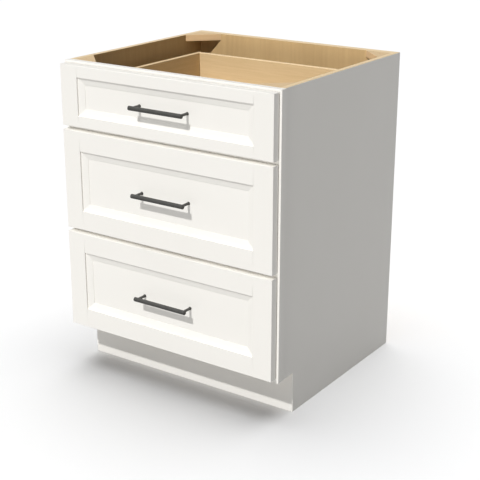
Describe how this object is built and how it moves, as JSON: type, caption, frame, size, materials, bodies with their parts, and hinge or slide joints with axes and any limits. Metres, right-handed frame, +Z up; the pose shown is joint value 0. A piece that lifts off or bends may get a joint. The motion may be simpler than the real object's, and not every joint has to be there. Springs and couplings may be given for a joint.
{
  "type": "base cabinet with drawers",
  "caption": "Kitchen base cabinet with a face frame, a shallow drawer over two deep ones on full-extension slides, recessed-panel fronts, bar pulls, a toe kick and an open top.",
  "frame": {"origin": "on the floor, in the middle of the width and of the whole depth, pulls included", "axes": "+X to the cabinet's right as seen from its front, +Y to the wall behind it, +Z up"},
  "size_m": [0.6858, 0.665, 0.8763],
  "materials": {
    "white_paint": "satin white paint",
    "plywood": "clear-coated maple plywood",
    "corner_wood": "bare solid wood",
    "box_maple": "clear-coated maple",
    "pull_metal": "dark satin",
    "slide_steel": "zinc plated",
    "bumper": "soft clear grey"
  },
  "bodies": {
    "carcass": {"side_panel_left": "plywood", "side_panel_right": "plywood", "bottom_panel": "plywood", "back_panel": "plywood", "hanging_rail_top": "plywood", "hanging_rail_bottom": "plywood", "slide_cleats": "plywood", "corner_blocks": "corner_wood", "end_skin_left": "white_paint", "end_skin_right": "white_paint", "toe_kick_board": "white_paint", "frame_stile_left": "white_paint", "frame_stile_right": "white_paint", "frame_rail_top": "white_paint", "frame_rail_upper_middle": "white_paint", "frame_rail_lower_middle": "white_paint", "frame_rail_bottom": "white_paint", "top_slide_cabinet_members": "slide_steel", "middle_slide_cabinet_members": "slide_steel", "bottom_slide_cabinet_members": "slide_steel"},
    "top_drawer": {"top_drawer_front_stiles": "white_paint", "top_drawer_front_rails": "white_paint", "top_drawer_front_panel": "white_paint", "top_drawer_box_front": "box_maple", "top_drawer_box_back": "box_maple", "top_drawer_box_sides": "box_maple", "top_drawer_box_bottom": "box_maple", "top_drawer_pull_bar": "pull_metal", "top_drawer_pull_posts": "pull_metal", "top_drawer_pull_screws": "slide_steel", "top_slide_drawer_members": "slide_steel", "top_drawer_bumpers": "bumper"},
    "top_runner": {"top_slide_middle_members": "slide_steel"},
    "middle_drawer": {"middle_drawer_front_stiles": "white_paint", "middle_drawer_front_rails": "white_paint", "middle_drawer_front_panel": "white_paint", "middle_drawer_box_front": "box_maple", "middle_drawer_box_back": "box_maple", "middle_drawer_box_sides": "box_maple", "middle_drawer_box_bottom": "box_maple", "middle_drawer_pull_bar": "pull_metal", "middle_drawer_pull_posts": "pull_metal", "middle_drawer_pull_screws": "slide_steel", "middle_slide_drawer_members": "slide_steel", "middle_drawer_bumpers": "bumper"},
    "middle_runner": {"middle_slide_middle_members": "slide_steel"},
    "bottom_drawer": {"bottom_drawer_front_stiles": "white_paint", "bottom_drawer_front_rails": "white_paint", "bottom_drawer_front_panel": "white_paint", "bottom_drawer_box_front": "box_maple", "bottom_drawer_box_back": "box_maple", "bottom_drawer_box_sides": "box_maple", "bottom_drawer_box_bottom": "box_maple", "bottom_drawer_pull_bar": "pull_metal", "bottom_drawer_pull_posts": "pull_metal", "bottom_drawer_pull_screws": "slide_steel", "bottom_slide_drawer_members": "slide_steel", "bottom_drawer_bumpers": "bumper"},
    "bottom_runner": {"bottom_slide_middle_members": "slide_steel"}
  },
  "joints": [
    {"name": "top_drawer_slide", "type": "slide", "parent": "carcass", "child": "top_drawer", "axis": [0, -1, 0], "range_m": [0, 0.5334]},
    {"name": "top_runner_slide", "type": "slide", "parent": "carcass", "child": "top_runner", "axis": [0, -1, 0], "range_m": [0, 0.2667]},
    {"name": "middle_drawer_slide", "type": "slide", "parent": "carcass", "child": "middle_drawer", "axis": [0, -1, 0], "range_m": [0, 0.5334]},
    {"name": "middle_runner_slide", "type": "slide", "parent": "carcass", "child": "middle_runner", "axis": [0, -1, 0], "range_m": [0, 0.2667]},
    {"name": "bottom_drawer_slide", "type": "slide", "parent": "carcass", "child": "bottom_drawer", "axis": [0, -1, 0], "range_m": [0, 0.5334]},
    {"name": "bottom_runner_slide", "type": "slide", "parent": "carcass", "child": "bottom_runner", "axis": [0, -1, 0], "range_m": [0, 0.2667]}
  ],
  "couplings": [
    {"joint": "top_runner_slide", "follows": "top_drawer_slide", "ratio": 0.5},
    {"joint": "middle_runner_slide", "follows": "middle_drawer_slide", "ratio": 0.5},
    {"joint": "bottom_runner_slide", "follows": "bottom_drawer_slide", "ratio": 0.5}
  ]
}
